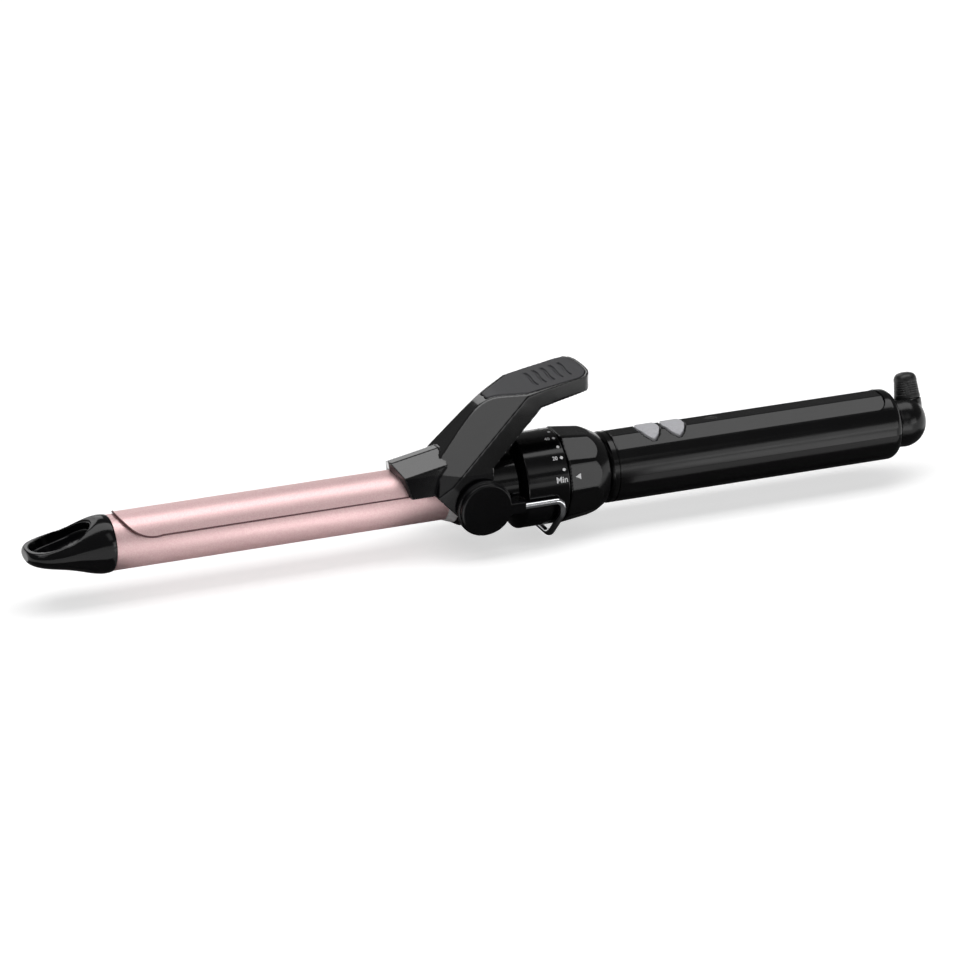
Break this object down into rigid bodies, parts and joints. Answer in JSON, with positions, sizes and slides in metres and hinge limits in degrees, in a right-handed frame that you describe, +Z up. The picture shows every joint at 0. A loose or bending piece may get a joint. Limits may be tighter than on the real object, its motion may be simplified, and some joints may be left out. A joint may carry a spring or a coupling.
{
  "type": "curling iron",
  "caption": "Hair curling iron with a sprung barrel clip and thumb lever, folding wire stand, faceted temperature dial, push keys and a swivel cord exit.",
  "frame": {"origin": "on the resting surface, under the middle of the iron's length and on its centre plane", "axes": "+X from the cool tip to the cord end along the barrel, +Z up on the lever side, +Y across, away from the viewer in the picture"},
  "size_m": [0.332, 0.0388, 0.059],
  "materials": {
    "black_gloss": "gloss moulded",
    "panel_gloss": "gloss moulded",
    "rose_coating": "satin coated",
    "grey_collar": "satin moulded",
    "soft_pad": "fine matte",
    "chrome_wire": "bright plated",
    "steel": "plain",
    "silver_key": "silver painted",
    "dark_lens": "clear dark",
    "relief_rubber": "matte moulded",
    "spreader": "extruded",
    "ceramic": "fired ceramic",
    "film": "amber film",
    "board": "solder mask",
    "inner_plastic": "moulded",
    "lamp": "tinted",
    "capacitor": "dipped",
    "lead_sleeve": "braided sleeve",
    "brass": "plain"
  },
  "bodies": {
    "iron": {"cool_tip": "black_gloss", "barrel_tube": "rose_coating", "hinge_housing": "black_gloss", "barrel_collar": "grey_collar", "pivot_pins": "steel", "clip_springs": "steel", "track_board": "board", "handle_upper_shell": "black_gloss", "handle_lower_shell": "black_gloss", "handle_panel": "panel_gloss", "indicator_lens": "dark_lens", "handle_screws": "steel", "control_board": "board", "tact_switches": "inner_plastic", "indicator_led": "lamp", "film_capacitor": "capacitor", "power_triac": "inner_plastic", "heater_half_upper": "spreader", "heater_half_lower": "spreader", "heater_insulation": "film", "ptc_heater": "ceramic", "thermal_fuse": "steel", "temperature_sensor": "inner_plastic", "heater_leads": "lead_sleeve", "brush_holder": "inner_plastic", "contact_brushes": "brass", "supply_leads": "lead_sleeve"},
    "clip": {"clip_plate": "rose_coating", "clip_rivets": "steel", "clip_lever": "black_gloss", "thumb_pad": "soft_pad"},
    "stand": {"stand_hub_near": "black_gloss", "stand_hub_far": "black_gloss", "stand_wire": "chrome_wire"},
    "dial": {"temperature_dial": "black_gloss", "dial_wiper": "brass"},
    "on_key": {"button_on": "silver_key"},
    "off_key": {"button_off": "silver_key"},
    "swivel": {"swivel_body": "black_gloss", "slip_rings": "brass", "strain_relief": "relief_rubber"}
  },
  "joints": [
    {"name": "clip_hinge", "type": "hinge", "parent": "iron", "child": "clip", "pos_m": [-0.00765, 0, 0.0186], "axis": [0, 1, 0], "range_deg": [0, 16], "stiffness_Nm_per_rad": 0.9, "springref_deg": -14.32, "deforming": ["clip_springs"]},
    {"name": "stand_swing", "type": "hinge", "parent": "iron", "child": "stand", "pos_m": [-0.00765, 0, 0.0186], "axis": [0, 1, 0], "range_deg": [0, 100]},
    {"name": "dial_turn", "type": "hinge", "parent": "iron", "child": "dial", "pos_m": [0.03385, 0, 0.0198], "axis": [-1, 0, 0], "range_deg": [0, 150]},
    {"name": "button_on_press", "type": "slide", "parent": "iron", "child": "on_key", "axis": [0, 0, -1], "range_m": [0, 0.0005], "stiffness_N_per_m": 1500, "springref_m": -0.0006},
    {"name": "button_off_press", "type": "slide", "parent": "iron", "child": "off_key", "axis": [0, 0, -1], "range_m": [0, 0.0005], "stiffness_N_per_m": 1500, "springref_m": -0.0006},
    {"name": "swivel_turn", "type": "hinge", "parent": "iron", "child": "swivel", "pos_m": [0.15345, 0, 0.0198], "axis": [1, 0, 0], "continuous": true}
  ]
}
